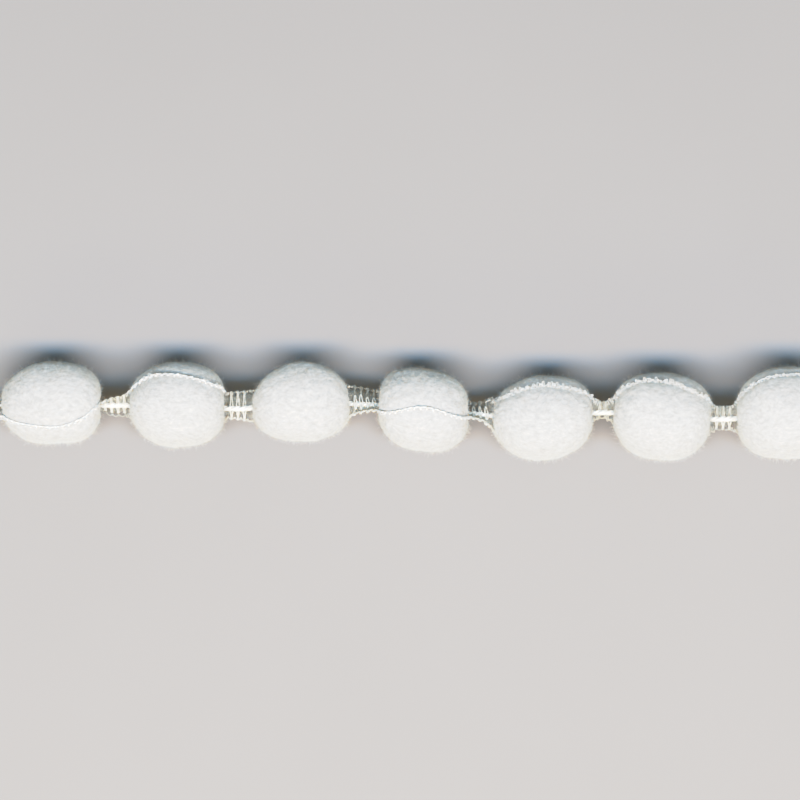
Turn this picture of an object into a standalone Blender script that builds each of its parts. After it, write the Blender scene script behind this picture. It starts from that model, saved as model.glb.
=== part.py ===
"""Pompom fringe trim: seven clipped pile pompoms on a narrow crochet braid, lying on a flat surface.

The trim runs along X, +Y is across it and +Z is up. Lengths are written in millimetres and turned into
metres when a mesh is made. The origin is under the middle of the whole trim, on the surface it lies on.

The braid is a ladder of three lines: an edge chain, a thicker middle cord and a second edge chain, tied
by short rungs. At each pompom the rungs stop and the two edge chains run over the ball, where they hold
the pile down in two soft valleys on opposite sides. The braid turns about its own length as it lies.
"""
import math

import bpy
import numpy as np

MM = 0.001

# ---- driving dimensions (mm) -------------------------------------------------------------------

PIECE_GAP = 0.3          # air left between two pieces that touch on the real trim
FLAT_DEPTH = 0.4         # how far a ball's pile is pressed flat by its own weight
SETTLED = 0.15           # pile this close to the surface spreads down onto it
DEPTH_RATIO = 0.97       # a ball's height off the surface over its width across the trim
BALL_SQUARENESS = 2.45   # how a ball's rings are spaced: 2 is by even slants, more is closer at the ends
POLE_DIMPLE = 0.5        # how deep the braid pulls the pile in at a ball's two ends
POLE_DIMPLE_RADIUS = 1.2
POLE_REACH = 1.045       # length of the barrel before its ends are dimpled, over the ball's real length

VALLEY_DEPTH = 0.6       # the stitch line's valley in the pile
VALLEY_FLOOR = 0.55      # half width of its floor
VALLEY_SHOULDER = 1.12   # half width where its wall is nearly up
VALLEY_LIP = 1.8         # half width where it has run out
TUFT_HEIGHT = 0.25       # one clump of pile above its neighbours
TUFT_UNEVEN = 0.4        # share by which the tufts differ in height
TUFT_SCATTER = (12.9898, 78.233, 3.1)    # waves by ring, column and turn that scatter those heights

CHAIN_WIDTH = 0.55       # an edge chain, lying flat
CHAIN_THICKNESS = 0.36
CHAIN_SIDES = 6
CHAIN_STEP = 1.25        # length of one segment of a chain's solid
CHAIN_AIR = 0.42         # air under an edge chain, which clears the valley's straight facets too

CORD_WIDTH = 0.64        # the middle cord
CORD_THICKNESS = 0.60
RUNG_THICKNESS = 0.34
RUNG_WIDTH = 0.43
STITCH = 0.94            # length of one stitch, and the pitch of the rungs
SCALLOP = 0.16           # how far the turning loops stand out past an edge chain
CUT_END = 3.3            # length of braid left past the first and the last pompom

# One row for each pompom, left to right. x is from the first pompom's middle and y is across the trim;
# half_length is along it and half_width across it. a_* and b_* are the turns in degrees of the two edge
# chains about the trim's length at the ball's left end, middle and right end: 0 is straight up and 90
# is towards +Y.
POMPOM_COLUMNS = ("x", "y", "half_length", "half_width",
                  "a_left", "a_mid", "a_right", "b_left", "b_mid", "b_right")
POMPOM_ROWS = (
    (0.00, 1.11, 7.10, 6.05, -37, -37, -24, 143, 143, 160),
    (18.34, 0.85, 6.80, 6.24, 50, 42, 38, 230, 222, 222),
    (36.25, 1.25, 7.03, 6.06, 88, 92, 95, 270, 252, 275),
    (54.09, 0.05, 6.38, 6.02, 140, 149, 146, 350, 363, 353),
    (71.27, -1.07, 7.25, 6.20, 46, 50, 47, 250, 234, 230),
    (88.63, -0.92, 7.00, 6.41, 53, 54, 44, 232, 234, 226),
    (106.58, -0.34, 7.10, 6.77, 54, 56, 62, 236, 238, 240),
)

# How square each ball is clipped at its four shoulders, seen from above: 2 is an ellipsoid's shoulder,
# less is more pointed and more is squarer. Far is towards +Y. One row for each pompom.
SHOULDER_COLUMNS = ("far_left", "far_right", "near_left", "near_right")
SHOULDER_ROWS = (
    (2.00, 3.00, 1.80, 2.40),
    (2.15, 2.85, 2.00, 2.10),
    (2.05, 2.20, 1.90, 2.30),
    (2.45, 2.45, 2.60, 2.45),
    (1.65, 2.15, 2.20, 2.45),
    (2.20, 2.50, 2.30, 2.00),
    (2.45, 2.45, 1.95, 2.45),
)

# One row for each stretch of open braid, left to right: the first and the last are the cut ends. y and
# z place the middle cord across the trim and above the surface; a_* and b_* are each edge chain's turn
# about the middle cord and its reach from it.
LADDER_COLUMNS = ("y", "z", "a_turn", "a_reach", "b_turn", "b_reach")
LADDER_ROWS = (
    (0.45, 5.5, -50, 1.90, 155, 1.80),
    (0.80, 5.9, 32, 1.87, 228, 1.90),
    (0.30, 5.9, 78, 2.25, 235, 1.70),
    (0.85, 5.9, 115, 2.50, 326, 1.80),
    (-0.50, 5.9, 128, 2.10, 335, 1.80),
    (-0.50, 6.0, 40, 1.60, 200, 1.90),
    (-1.45, 6.1, 57, 1.65, 237, 1.70),
    (-0.25, 6.0, 62, 1.80, 241, 1.75),
)

BRAID_COLOUR = (0.80, 0.78, 0.73, 1.0)
PILE_COLOUR = (0.86, 0.87, 0.88, 1.0)

POMPOMS = [dict(zip(POMPOM_COLUMNS + SHOULDER_COLUMNS, row + shoulders))
           for row, shoulders in zip(POMPOM_ROWS, SHOULDER_ROWS)]
LADDERS = [dict(zip(LADDER_COLUMNS, row)) for row in LADDER_ROWS]


# ---- small tools -------------------------------------------------------------------------------

def smooth_curve(at, knots, values):
    """Value at each place of a smooth curve through the knots that never overshoots them.

    Between two knots it is a cubic with the slopes of both ends, and a slope is zero where the
    values turn back, so the curve stays between its knots.
    """
    at = np.asarray(at, dtype=float)
    knots = np.asarray(knots, dtype=float)
    values = np.asarray(values, dtype=float)
    steps = np.diff(knots)
    rises = np.diff(values) / steps
    same_way = rises[:-1] * rises[1:] > 0.0
    total = np.where(same_way, rises[:-1] + rises[1:], 1.0)
    slopes = np.zeros(len(knots))
    slopes[1:-1] = np.where(same_way, 2.0 * rises[:-1] * rises[1:] / total, 0.0)
    slopes[0] = rises[0]
    slopes[-1] = rises[-1]
    cell = np.clip(np.searchsorted(knots, at) - 1, 0, len(steps) - 1)
    width = steps[cell]
    t = (at - knots[cell]) / width
    return (values[cell] * (1 + 2 * t) * (1 - t) ** 2 + slopes[cell] * width * t * (1 - t) ** 2
            + values[cell + 1] * t * t * (3 - 2 * t) + slopes[cell + 1] * width * t * t * (t - 1))


def soft_path(points, step):
    """Points about a step apart along a soft curve through a list of points (Catmull-Rom)."""
    points = np.asarray(points, dtype=float)
    ends = np.vstack([2 * points[0] - points[1], points, 2 * points[-1] - points[-2]])
    t = np.linspace(0.0, 1.0, 12, endpoint=False)[:, None]
    fine = []
    for before, start, end, after in zip(ends[:-3], ends[1:-2], ends[2:-1], ends[3:]):
        fine.append(start + 0.5 * t * (end - before)
                    + t * t * (before - 2.5 * start + 2 * end - 0.5 * after)
                    + t ** 3 * (1.5 * (start - end) + 0.5 * (after - before)))
    fine = np.vstack(fine + [points[-1:]])
    run = np.concatenate([[0.0], np.cumsum(np.linalg.norm(np.diff(fine, axis=0), axis=1))])
    count = max(2, round(run[-1] / step) + 1)
    places = np.linspace(0.0, run[-1], count)
    return np.column_stack([np.interp(places, run, fine[:, axis]) for axis in range(3)])


def unit(vectors):
    return vectors / np.linalg.norm(vectors, axis=-1, keepdims=True)


# ---- where everything lies ---------------------------------------------------------------------

def ball_height(ball):
    """Height of a ball's middle above the surface."""
    return ball["half_width"] * DEPTH_RATIO - FLAT_DEPTH


def ends_of(index):
    """Left and right end of one pompom along the trim."""
    ball = POMPOMS[index]
    return ball["x"] - ball["half_length"], ball["x"] + ball["half_length"]


def ladder_span(index):
    """Where one stretch of open braid starts and ends along the trim."""
    left = ends_of(index - 1)[1] if index > 0 else ends_of(0)[0] - CUT_END
    right = ends_of(index)[0] if index < len(POMPOMS) else ends_of(index - 1)[1] + CUT_END
    return left, right


def string_line():
    """Knots of the line through the middles of the balls and of the braid: x, y and z."""
    knots = []
    for index, ladder in enumerate(LADDERS):
        left, right = ladder_span(index)
        knots.append((0.5 * (left + right), ladder["y"], ladder["z"]))
        if index < len(POMPOMS):
            ball = POMPOMS[index]
            knots.append((ball["x"], ball["y"], ball_height(ball)))
    return np.array(knots)


STRING = string_line()


def string_at(x):
    """The string line's y and z at places along the trim."""
    return smooth_curve(x, STRING[:, 0], STRING[:, 1]), smooth_curve(x, STRING[:, 0], STRING[:, 2])


def turn_knots(side):
    """Knots of an edge chain's turn about the string line, in degrees."""
    knots = []
    for index, ladder in enumerate(LADDERS):
        left, right = ladder_span(index)
        knots.append((0.5 * (left + right), ladder[side + "_turn"]))
        if index < len(POMPOMS):
            ball = POMPOMS[index]
            for name, share in (("_left", -0.72), ("_mid", 0.0), ("_right", 0.72)):
                knots.append((ball["x"] + share * ball["half_length"], ball[side + name]))
    return np.array(knots)


TURNS = {side: turn_knots(side) for side in "ab"}


def turn_at(side, x):
    """An edge chain's turn at places along the trim, in radians."""
    return np.radians(smooth_curve(x, TURNS[side][:, 0], TURNS[side][:, 1]))


# ---- meshes ------------------------------------------------------------------------------------

def material(name, colour, roughness):
    made = bpy.data.materials.new(name)
    made.use_nodes = True
    shader = made.node_tree.nodes["Principled BSDF"]
    shader.inputs["Base Color"].default_value = colour
    shader.inputs["Roughness"].default_value = roughness
    shader.inputs["Metallic"].default_value = 0.0
    return made


def add_piece(name, points, faces, look):
    """Make an object from points in millimetres about the trim's own start."""
    mesh = bpy.data.meshes.new(name)
    mesh.from_pydata([tuple(point) for point in (np.asarray(points) - ORIGIN) * MM], [], faces)
    mesh.materials.append(look)
    mesh.shade_smooth()
    mesh.update()
    piece = bpy.data.objects.new(name, mesh)
    bpy.context.scene.collection.objects.link(piece)
    return piece


def ring_faces(rings, around):
    """Outward quads of a tube, its rings numbered one after another and turning from +Z to +Y."""
    faces = []
    for ring in range(rings - 1):
        for step in range(around):
            here = ring * around + step
            beside = ring * around + (step + 1) % around
            faces.append((here, here + around, beside + around, beside))
    return faces


# ---- pompoms -----------------------------------------------------------------------------------

RINGS = 15               # rings of points between a ball's two poles
SPREAD = 8               # steps of the pile between one valley's lip and the next
TUFT_RINGS = range(2, 14, 2)
VALLEY_SECTION = ((0.0, 1.0), (VALLEY_FLOOR, 1.0), (VALLEY_SHOULDER, 0.18), (VALLEY_LIP, 0.0))
VALLEY_SHARE = 0.16      # most of the way to the other valley that one side of a valley may take up


def place_along(ball, slant):
    """Place along a ball from its middle, for a slant of -90 to 90 degrees."""
    share = np.abs(np.sin(slant)) ** (2.0 / BALL_SQUARENESS)
    return np.sign(slant) * share * ball["half_length"] * POLE_REACH


def squareness(ball, along, turn):
    """How square the ball is clipped there: its far and near shoulders blended round it by the turn."""
    left = np.asarray(along) < 0
    far = np.where(left, ball["far_left"], ball["far_right"])
    near = np.where(left, ball["near_left"], ball["near_right"])
    return near + (far - near) * 0.5 * (1 + np.sin(turn))


def ball_radius(ball, along, turn):
    """Radius of the barrel there: the shares of its length and width, each raised to the squareness,
    add up to one."""
    power = squareness(ball, along, turn)
    share = np.abs(along) / (ball["half_length"] * POLE_REACH)
    return ball["half_width"] * (1 - share ** power) ** (1 / power)


def columns_round(stitch_lines):
    """Turns of a ring's columns: tight steps in each valley, even steps of pile between them.

    The stitch lines are a pair of (turn, radius). A valley's section is a row of places, each its
    distance from the middle and its share of the depth. Returns the turns, each column's share of the
    valley's depth and its step on the pile, 0 in a valley.
    """
    (turn_a, radius_a), (turn_b, radius_b) = stitch_lines
    whole = 2 * math.pi
    turns, depths, steps = [], [], []
    for start, start_radius, stop, stop_radius in ((turn_a, radius_a, turn_b, radius_b),
                                                   (turn_b, radius_b, turn_a + whole, radius_a)):
        most = VALLEY_SHARE * (stop - start) / VALLEY_LIP
        after = [width * min(1.0 / start_radius, most) for width, _ in VALLEY_SECTION]
        before = [width * min(1.0 / stop_radius, most) for width, _ in VALLEY_SECTION]
        for angle, (_, depth) in zip(after, VALLEY_SECTION):
            turns.append(start + angle)
            depths.append(depth)
            steps.append(0)
        for step in range(1, SPREAD):
            pile = stop - start - after[-1] - before[-1]
            turns.append(start + after[-1] + pile * step / SPREAD)
            depths.append(0.0)
            steps.append(step)
        for angle, (_, depth) in list(zip(before, VALLEY_SECTION))[:0:-1]:
            turns.append(stop - angle)
            depths.append(depth)
            steps.append(0)
    return np.array(turns), np.array(depths), np.array(steps)


def pompom(index, look):
    """A barrel of clipped pile: two valleys, a flat spot below, dimpled ends and low tufts.

    The tufts are every second point of every second ring, raised, so each is a low four-sided point.
    """
    ball = POMPOMS[index]
    slants = np.linspace(-math.pi / 2, math.pi / 2, RINGS + 2)[1:-1]
    pull = (POLE_REACH - 1.0) * ball["half_length"] + POLE_DIMPLE
    points = []
    for ring, slant in enumerate(slants, start=1):
        along = place_along(ball, slant)
        x = ball["x"] + along
        lines = [float(turn_at(side, x)) for side in "ab"]
        lines = [(turn, float(ball_radius(ball, along, turn))) for turn in lines]
        turns, depths, steps = columns_round(lines)
        radius = ball_radius(ball, along, turns)
        fade = np.minimum(1.0, radius / (0.5 * ball["half_width"]))
        reach = radius - VALLEY_DEPTH * depths * fade - 0.5 * TUFT_HEIGHT * (steps > 0)
        if ring in TUFT_RINGS:
            odd = (ring // 2) % 2
            tufted = (steps > 0) & (steps % 2 == odd)
            by_ring, by_step, by_turn = TUFT_SCATTER
            uneven = np.sin(by_ring * (ring + RINGS * index) + by_step * steps + by_turn * turns)
            reach = reach + np.where(tufted, TUFT_HEIGHT * (1 + TUFT_UNEVEN * uneven), 0.0)
        dimple = pull * np.exp(-(radius / POLE_DIMPLE_RADIUS) ** 2)
        x = x - np.sign(along) * dimple
        y, z = string_at(x)
        points.append(np.column_stack([x, y + reach * np.sin(turns),
                                       z + DEPTH_RATIO * reach * np.cos(turns)]))
    around = len(points[0])
    points = np.vstack(points)
    poles = []
    for end in (-1, 1):
        x = ball["x"] + end * (ball["half_length"] - POLE_DIMPLE)
        y, z = string_at(x)
        poles.append((x, float(y), float(z)))
    points = np.vstack([points, poles])
    points[points[:, 2] < SETTLED, 2] = 0.0
    faces = ring_faces(RINGS, around)
    first, last = RINGS * around, RINGS * around + 1
    top = (RINGS - 1) * around
    for step in range(around):
        beside = (step + 1) % around
        faces.append((first, step, beside))
        faces.append((last, top + beside, top + step))
    return add_piece(f"pompom_{index + 1}", points, faces, look)


# ---- the braid ---------------------------------------------------------------------------------

CHAIN_START = 56.0       # slant on the ball, in degrees, from which an edge chain lies in its valley
CHAIN_ROUTE_POINTS = 13
FLARE_REACH = 2.55       # reach of an edge chain where it leaves the braid for the ball
CORD_REACH_IN = 0.3      # how much further the middle cord runs, into a ball's dimple
LADDER_CELLS = 8         # cells across the ladder, between its nine columns of points
CORD_COLUMNS = slice(3, 6)
WALES = ((0, 1), (3, 4), (6, 7))    # cells that are chain or cord all along, not rungs


def valley_route(index, side):
    """Middle line of an edge chain over one ball, lifted off the valley's floor."""
    ball = POMPOMS[index]
    slants = np.radians(np.linspace(-CHAIN_START, CHAIN_START, CHAIN_ROUTE_POINTS))
    along = place_along(ball, slants)
    x = ball["x"] + along
    turn = turn_at(side, x)
    radius = ball_radius(ball, along, turn)
    power = squareness(ball, along, turn) - 1.0
    barrel = ball["half_length"] * POLE_REACH
    lean = np.sign(along) * (np.abs(along) / barrel) ** power / barrel
    rise = (radius / ball["half_width"]) ** power / ball["half_width"]
    normal = unit(np.column_stack([lean, rise]))
    fade = np.minimum(1.0, radius / (0.5 * ball["half_width"]))
    lift = CHAIN_AIR + 0.5 * CHAIN_THICKNESS
    x = x + lift * normal[:, 0]
    reach = radius - VALLEY_DEPTH * fade + lift * normal[:, 1]
    y, z = string_at(x)
    return np.column_stack([x, y + reach * np.sin(turn), z + DEPTH_RATIO * reach * np.cos(turn)])


def edge_chain(index, side, look):
    """One edge chain where it runs over a ball: a flat cord lying in its valley."""
    path = soft_path(valley_route(index, side), CHAIN_STEP)
    ahead = unit(np.gradient(path, axis=0))
    centre = np.column_stack([path[:, 0], *string_at(path[:, 0])])
    out = path - centre
    out[:, 0] = 0.0
    out = unit(out - ahead * np.sum(out * ahead, axis=1, keepdims=True))
    beside = np.cross(ahead, out)
    angles = 2 * math.pi * np.arange(CHAIN_SIDES) / CHAIN_SIDES
    points = (path[:, None, :]
              + 0.5 * CHAIN_WIDTH * np.cos(angles)[None, :, None] * beside[:, None, :]
              + 0.5 * CHAIN_THICKNESS * np.sin(angles)[None, :, None] * out[:, None, :])
    faces = ring_faces(len(path), CHAIN_SIDES)
    last = (len(path) - 1) * CHAIN_SIDES
    faces.append(tuple(range(CHAIN_SIDES)))
    faces.append(tuple(last + step for step in range(CHAIN_SIDES))[::-1])
    return add_piece(f"chain_{side}_{index + 1}", points.reshape(-1, 3), faces, look)


def ladder_stations(index):
    """Places along one stretch of braid: its two ends, and each rung's start, middle and end.

    Returns the places, which of the segments between them are rungs, and which places are a rung's
    middle.
    """
    left, right = ladder_span(index)
    start, stop = left + PIECE_GAP, right - PIECE_GAP
    rungs = max(2, round((stop - start - 0.5 * RUNG_WIDTH) / STITCH))
    first = 0.5 * (start + stop) - 0.5 * STITCH * (rungs - 1)
    places, rung_segments, rung_middles = [start], [False], [False]
    for rung in range(rungs):
        middle = first + rung * STITCH
        places += [middle - 0.5 * RUNG_WIDTH, middle, middle + 0.5 * RUNG_WIDTH]
        rung_segments += [True, True, False]
        rung_middles += [False, True, False]
    places.append(stop)
    rung_middles.append(False)
    return np.array(places), np.array(rung_segments), np.array(rung_middles)


def ladder(index, look):
    """One stretch of open braid: two edge chains and a middle cord, tied by rungs with holes between.

    It is a sheet of nine columns of points with a front and a back, bent along the middle cord. The
    cells between two rungs and two lines are left out, and walls close every edge.
    """
    row = LADDERS[index]
    x, rung_segments, rung_middles = ladder_stations(index)
    left, right = ladder_span(index)
    y, z = string_at(x)
    share = np.abs(2 * (x - left) / (right - left) - 1)
    open_ends = np.where(x < 0.5 * (left + right), index > 0, index < len(POMPOMS))
    columns = []
    for side, hand in (("a", 1.0), ("b", -1.0)):
        turn = turn_at(side, x)
        flare = np.maximum(0.0, FLARE_REACH - row[side + "_reach"]) * share ** 4 * open_ends
        reach = row[side + "_reach"] + flare
        way = np.column_stack([np.zeros_like(x), np.sin(turn), np.cos(turn)])
        face = hand * np.column_stack([np.zeros_like(x), np.cos(turn), -np.sin(turn)])
        outer = reach + 0.5 * CHAIN_WIDTH + SCALLOP * rung_middles
        line = ((outer, 0.25 * CHAIN_THICKNESS), (reach, 0.5 * CHAIN_THICKNESS),
                (reach - 0.5 * CHAIN_WIDTH, 0.5 * RUNG_THICKNESS),
                (np.full_like(x, 0.5 * CORD_WIDTH), 0.5 * RUNG_THICKNESS))
        columns.append([(way * np.reshape(place, (-1, 1)), face * half) for place, half in line])
    bisector = unit(columns[0][0][1] + columns[1][0][1])
    middle = [(np.zeros((len(x), 3)), bisector * 0.5 * CORD_THICKNESS)]
    across = columns[0] + middle + columns[1][::-1]
    base = np.column_stack([x, y, z])
    points = np.array([[base + place + thick, base + place - thick] for place, thick in across])
    for place, way, into_ball in ((0, -1, index > 0), (-1, 1, index < len(POMPOMS))):
        points[CORD_COLUMNS, :, place, 0] += way * CORD_REACH_IN * into_ball

    solid = np.zeros((len(x) - 1, LADDER_CELLS), dtype=bool)
    solid[rung_segments] = True
    for pair in WALES:
        solid[:, pair] = True

    def number(column, side, place):
        return (column * 2 + side) * len(x) + place

    faces = []
    for place, column in np.argwhere(solid):
        corners = ((column, place), (column, place + 1), (column + 1, place + 1), (column + 1, place))
        front = [number(c, 0, p) for c, p in corners]
        back = [number(c, 1, p) for c, p in corners]
        faces.append(tuple(front))
        faces.append(tuple(back[::-1]))
        beyond = ((column - 1, place), (column, place + 1), (column + 1, place), (column, place - 1))
        for edge, (c, p) in enumerate(beyond):
            inside = 0 <= c < solid.shape[1] and 0 <= p < solid.shape[0]
            if inside and solid[p, c]:
                continue
            after = (edge + 1) % 4
            faces.append((front[edge], back[edge], back[after], front[after]))
    return add_piece(f"ladder_{index + 1}", points.reshape(-1, 3), faces, look)


# ---- build -------------------------------------------------------------------------------------

def find_origin():
    """The point under the middle of the whole trim: between its furthest reaches each way."""
    widest = max(ball["y"] + ball["half_width"] for ball in POMPOMS)
    narrowest = min(ball["y"] - ball["half_width"] for ball in POMPOMS)
    start = ladder_span(0)[0] + PIECE_GAP
    stop = ladder_span(len(POMPOMS))[1] - PIECE_GAP
    return np.array([0.5 * (start + stop), 0.5 * (widest + narrowest), 0.0])


for old in list(bpy.data.objects):
    bpy.data.objects.remove(old, do_unlink=True)

ORIGIN = find_origin()
pile = material("pile", PILE_COLOUR, 0.95)
braid = material("braid", BRAID_COLOUR, 0.45)
for number in range(len(POMPOMS)):
    pompom(number, pile)
    edge_chain(number, "a", braid)
    edge_chain(number, "b", braid)
for number in range(len(LADDERS)):
    ladder(number, braid)
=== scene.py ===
# %% [markdown]
# # A pompom trim on a crochet braid
#
# The real thing is a narrow trim sold by the metre. A crochet machine makes a ladder of three lines,
# an edge chain, a thick shiny cord and a second edge chain, tied by short rungs. Every eighteen
# millimetres a dense bundle of pile yarn is caught between the two edge chains and clipped to a
# velvety white ball. Here it lies in a straight line on a pale surface and is seen from above.
#
# The solids of the trim are loaded first. They fix where everything is, and each finished piece
# below stands in the place of one of them.

# %% Load the solids
import math

import bpy
import numpy as np
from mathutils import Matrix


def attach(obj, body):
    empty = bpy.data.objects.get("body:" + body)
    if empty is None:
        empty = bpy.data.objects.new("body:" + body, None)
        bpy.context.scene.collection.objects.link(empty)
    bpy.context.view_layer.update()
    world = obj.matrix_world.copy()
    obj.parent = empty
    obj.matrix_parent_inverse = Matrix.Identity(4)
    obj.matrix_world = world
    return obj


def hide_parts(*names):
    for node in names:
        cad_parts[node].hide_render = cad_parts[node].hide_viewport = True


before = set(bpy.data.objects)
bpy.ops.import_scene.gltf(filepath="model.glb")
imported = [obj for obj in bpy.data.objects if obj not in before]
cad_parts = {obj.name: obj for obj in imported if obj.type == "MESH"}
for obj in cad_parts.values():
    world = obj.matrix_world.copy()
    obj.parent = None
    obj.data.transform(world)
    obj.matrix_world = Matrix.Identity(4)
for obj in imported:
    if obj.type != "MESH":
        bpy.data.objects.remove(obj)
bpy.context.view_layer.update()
MM = 0.001


# %% [markdown]
# ## The measures of the trim
#
# All the shapes are worked out from a few tables in millimetres. One row is one ball or one stretch of
# open braid, so a whole trim could be made longer by adding rows. A chain's turn is its place around
# the trim's length: 0 degrees is straight up and 90 is towards +Y, the far side.

# %% The tables
POMPOM_COLUMNS = ("x", "y", "half_length", "half_width",
                  "a_left", "a_mid", "a_right", "b_left", "b_mid", "b_right")
POMPOM_ROWS = (
    (0.00, 1.11, 7.10, 6.05, -37, -37, -24, 143, 143, 160),
    (18.34, 0.85, 6.80, 6.24, 50, 42, 38, 230, 222, 222),
    (36.25, 1.25, 7.03, 6.06, 88, 92, 95, 270, 252, 275),
    (54.09, 0.05, 6.38, 6.02, 140, 149, 146, 350, 363, 353),
    (71.27, -1.07, 7.25, 6.20, 46, 50, 47, 250, 234, 230),
    (88.63, -0.92, 7.00, 6.41, 53, 54, 44, 232, 234, 226),
    (106.58, -0.34, 7.10, 6.77, 54, 56, 62, 236, 238, 240),
)
# How square each ball is clipped at its four shoulders: 2 is an ellipsoid's, more is squarer.
SHOULDER_COLUMNS = ("far_left", "far_right", "near_left", "near_right")
SHOULDER_ROWS = (
    (2.00, 3.00, 1.80, 2.40),
    (2.15, 2.85, 2.00, 2.10),
    (2.05, 2.20, 1.90, 2.30),
    (2.45, 2.45, 2.60, 2.45),
    (1.65, 2.15, 2.20, 2.45),
    (2.20, 2.50, 2.30, 2.00),
    (2.45, 2.45, 1.95, 2.45),
)
BRAID_COLUMNS = ("y", "z", "a_turn", "a_reach", "b_turn", "b_reach")
BRAID_ROWS = (
    (0.45, 5.5, -50, 1.90, 155, 1.80),
    (0.74, 5.9, 32, 1.87, 228, 1.90),
    (0.24, 5.9, 78, 2.32, 235, 1.70),
    (0.85, 5.9, 115, 2.50, 326, 1.80),
    (-0.60, 5.9, 128, 2.10, 335, 1.80),
    (-0.30, 6.0, 58, 1.60, 200, 1.90),
    (-1.25, 6.1, 70, 1.70, 237, 1.70),
    (-0.25, 6.0, 62, 1.80, 241, 1.75),
)
POMPOMS = [dict(zip(POMPOM_COLUMNS + SHOULDER_COLUMNS, row + shoulders))
           for row, shoulders in zip(POMPOM_ROWS, SHOULDER_ROWS)]
BRAIDS = [dict(zip(BRAID_COLUMNS, row)) for row in BRAID_ROWS]

ORIGIN = np.array([53.29, -0.01, 0.0])   # where the trim's middle is in these tables
FLAT_DEPTH = 0.4         # how far the lowest pile is pressed flat
DEPTH_RATIO = 0.97       # a ball's height over its width
SQUARENESS = 2.45        # how the rings of a ball crowd towards its ends
POLE_REACH = 1.045       # the barrel's curve goes this far past a ball's half length
POLE_DIMPLE = 0.5        # how deep the braid pulls the pile in at a ball's two ends
POLE_DIMPLE_RADIUS = 1.2
CUT_END = 3.3            # length of braid left past the first and the last ball
STITCH = 0.94            # one stitch of the crochet machine
VALLEY_ENDS = 0.72       # a chain's turns are given at this share of a ball's half length
print("balls:", len(POMPOMS), "stretches of open braid:", len(BRAIDS))

# %% [markdown]
# ## The line through the trim
#
# A thread through the middle of every ball and every stretch of braid wanders a little, because the
# trim was laid down by hand. It could be drawn as a Bezier curve by eye. A cubic through the tables'
# own points is used instead, so that balls, chains and cord all hang on one and the same line.


# %% Curves through knots
def smooth_curve(at, knots, values):
    """Values along a curve of cubics through the knots that never swings past them.

    The slope at a knot is the harmonic mean of the slopes beside it, and zero where they differ in sign.
    """
    at, knots, values = (np.asarray(part, dtype=float) for part in (at, knots, values))
    steps = np.diff(knots)
    rises = np.diff(values) / steps
    same_way = rises[:-1] * rises[1:] > 0.0
    total = np.where(same_way, rises[:-1] + rises[1:], 1.0)
    slopes = np.zeros(len(knots))
    slopes[1:-1] = np.where(same_way, 2.0 * rises[:-1] * rises[1:] / total, 0.0)
    slopes[0], slopes[-1] = rises[0], rises[-1]
    cell = np.clip(np.searchsorted(knots, at) - 1, 0, len(steps) - 1)
    width = steps[cell]
    t = (at - knots[cell]) / width
    return (values[cell] * (1 + 2 * t) * (1 - t) ** 2 + slopes[cell] * width * t * (1 - t) ** 2
            + values[cell + 1] * t * t * (3 - 2 * t) + slopes[cell + 1] * width * t * t * (t - 1))


def braid_span(index):
    """Where one stretch of open braid starts and ends along the trim."""
    left, right = POMPOMS[max(index - 1, 0)], POMPOMS[min(index, len(POMPOMS) - 1)]
    start = left["x"] + left["half_length"] if index > 0 else left["x"] - left["half_length"] - CUT_END
    stop = right["x"] - right["half_length"]
    if index == len(POMPOMS):
        stop = right["x"] + right["half_length"] + CUT_END
    return start, stop


def trim_knots():
    """Knots of the middle line (x, y, z) and of each chain's turn (x, degrees), left to right."""
    line, turns = [], {"a": [], "b": []}
    for index, braid in enumerate(BRAIDS):
        middle = 0.5 * sum(braid_span(index))
        line.append((middle, braid["y"], braid["z"]))
        for side in "ab":
            turns[side].append((middle, braid[side + "_turn"]))
        if index < len(POMPOMS):
            ball = POMPOMS[index]
            line.append((ball["x"], ball["y"], ball["half_width"] * DEPTH_RATIO - FLAT_DEPTH))
            for side in "ab":
                for name, share in (("_left", -VALLEY_ENDS), ("_mid", 0.0), ("_right", VALLEY_ENDS)):
                    turns[side].append((ball["x"] + share * ball["half_length"], ball[side + name]))
    return np.array(line), {side: np.array(knots) for side, knots in turns.items()}


LINE, TURNS = trim_knots()


def line_at(x):
    """Points of the middle line at places along the trim."""
    x = np.asarray(x, dtype=float)
    y = smooth_curve(x, LINE[:, 0], LINE[:, 1])
    return np.stack([x, y, smooth_curve(x, LINE[:, 0], LINE[:, 2])], axis=-1)


def turn_at(side, x):
    """An edge chain's turn at places along the trim, in radians."""
    return np.radians(smooth_curve(x, TURNS[side][:, 0], TURNS[side][:, 1]))


def outward(turn):
    """Unit vectors away from the middle line: (0, sine, cosine) of the turn."""
    return np.stack([np.zeros_like(turn), np.sin(turn), np.cos(turn)], axis=-1)


print("middle line:", len(LINE), "knots over", round(LINE[-1, 0] - LINE[0, 0], 1), "mm")

# %% [markdown]
# ## The surface, the light and the camera
#
# The trim was laid under a long lamp that stands a little to the near side of straight above, so each
# ball has a narrow soft shadow on its far side. One lamp would do. Two strips side by side, a warm one
# lower down and a cool one higher up, also give the shadow's blue edge and the warm near rims. A weak
# third strip near the floor reaches under the braid and rounds off the near sides of the balls.


# %% Helpers for finishes, and the paper
def finish_nodes(name):
    """A new node material: its nodes, its links and its surface shader."""
    made = bpy.data.materials.new(name)
    made.use_nodes = True
    nodes = made.node_tree.nodes
    return made, nodes, made.node_tree.links, nodes["Principled BSDF"]


def set_inputs(node, values):
    """Give each named input of a node its value."""
    for name, value in values.items():
        node.inputs[name].default_value = value


def noise_clouds(nodes, scale, detail):
    """Soft random clouds: about so many across a metre, with so many levels of finer ones in them."""
    clouds = nodes.new("ShaderNodeTexNoise")
    set_inputs(clouds, {"Scale": scale, "Detail": detail})
    return clouds


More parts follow.
